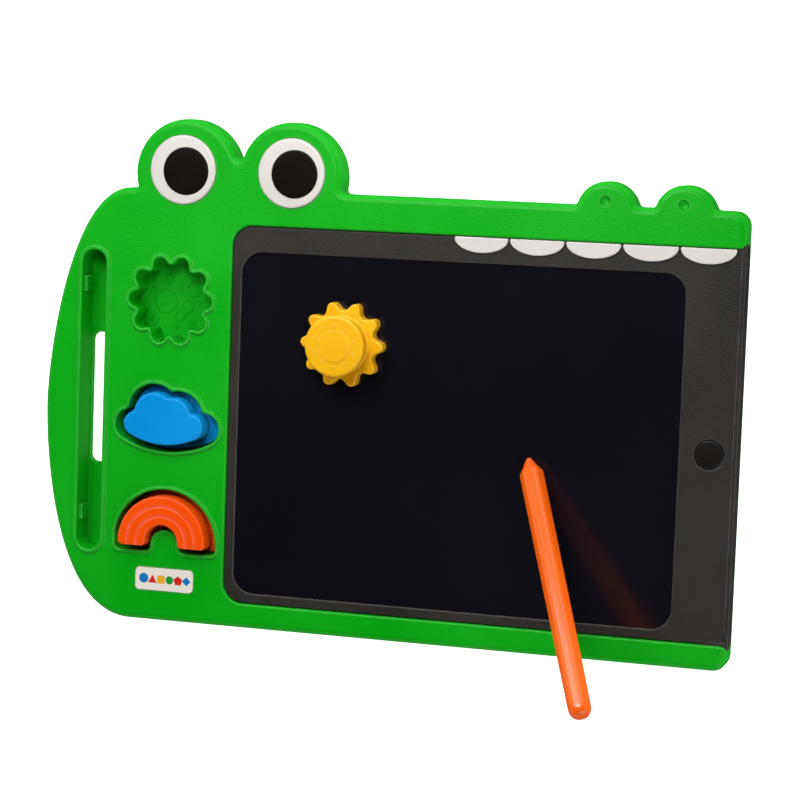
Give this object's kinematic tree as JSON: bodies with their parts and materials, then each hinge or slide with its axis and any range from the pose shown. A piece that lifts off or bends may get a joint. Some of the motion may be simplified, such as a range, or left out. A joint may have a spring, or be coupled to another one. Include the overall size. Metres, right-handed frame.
{
  "type": "kids toy tablet",
  "caption": "Animal-head drawing toy: LCD writing screen in a green frame with shaped stamp pockets, stylus channel, stamps, stylus and erase button.",
  "frame": {"origin": "on the flat back plane, straight behind the centre of the screen window", "axes": "+X along the toy towards the snout end, +Y up the face towards the eyes, +Z out of the face"},
  "size_m": [0.3246, 0.2423, 0.0957],
  "materials": {
    "green_plastic": "fine moulded grain",
    "black_plastic": "grained satin",
    "white_plastic": "satin",
    "gloss_black": "polished",
    "screen": "glossy film",
    "yellow_plastic": "satin",
    "blue_plastic": "satin",
    "orange_plastic": "satin",
    "stylus_plastic": "satin gloss",
    "label": "printed vinyl",
    "steel": "zinc plated",
    "circuit_board": "solder mask",
    "silicone": "matt",
    "grey_plastic": "plain"
  },
  "bodies": {
    "frame": {"front_shell": "green_plastic", "back_shell": "green_plastic", "tablet_bezel": "black_plastic", "tablet_rear_case": "black_plastic", "lcd_writing_panel": "screen", "lcd_backing_plate": "grey_plastic", "circuit_board": "circuit_board", "coin_cell": "steel", "battery_clip": "steel", "button_dome": "silicone", "eye_white_left": "white_plastic", "eye_white_right": "white_plastic", "eye_pupil_left": "gloss_black", "eye_pupil_right": "gloss_black", "tooth_1": "white_plastic", "tooth_2": "white_plastic", "tooth_3": "white_plastic", "tooth_4": "white_plastic", "tooth_5": "white_plastic", "badge_label": "label", "frame_screw_1": "steel", "frame_screw_2": "steel", "frame_screw_3": "steel", "frame_screw_4": "steel", "frame_screw_5": "steel", "frame_screw_6": "steel", "frame_screw_7": "steel", "frame_screw_8": "steel", "tablet_screw_1": "steel", "tablet_screw_2": "steel", "tablet_screw_3": "steel", "tablet_screw_4": "steel"},
    "button": {"erase_button": "gloss_black"},
    "sun_stamp": {"sun_stamp_body": "yellow_plastic", "sun_stamp_plate": "yellow_plastic"},
    "cloud_stamp": {"cloud_stamp_body": "blue_plastic", "cloud_stamp_plate": "blue_plastic"},
    "rainbow_stamp": {"rainbow_stamp_body": "orange_plastic", "rainbow_stamp_plate": "orange_plastic"},
    "pen": {"stylus": "stylus_plastic"},
    "door": {"battery_door": "green_plastic", "battery_door_screw": "steel"}
  },
  "joints": [
    {"name": "button_press", "type": "slide", "parent": "frame", "child": "button", "axis": [0, 0, -1], "range_m": [0, 0.0008], "stiffness_N_per_m": 300, "springref_m": -0.0004},
    {"name": "sun_stamp_lift", "type": "slide", "parent": "frame", "child": "sun_stamp", "axis": [0, 0, 1], "range_m": [0, 0.04]},
    {"name": "cloud_stamp_lift", "type": "slide", "parent": "frame", "child": "cloud_stamp", "axis": [0, 0, 1], "range_m": [0, 0.04]},
    {"name": "rainbow_stamp_lift", "type": "slide", "parent": "frame", "child": "rainbow_stamp", "axis": [0, 0, 1], "range_m": [0, 0.04]},
    {"name": "stylus_lift", "type": "slide", "parent": "frame", "child": "pen", "axis": [0, 0, 1], "range_m": [0, 0.05]},
    {"name": "door_removal", "type": "slide", "parent": "frame", "child": "door", "axis": [0, 0, -1], "range_m": [0, 0.015]}
  ]
}
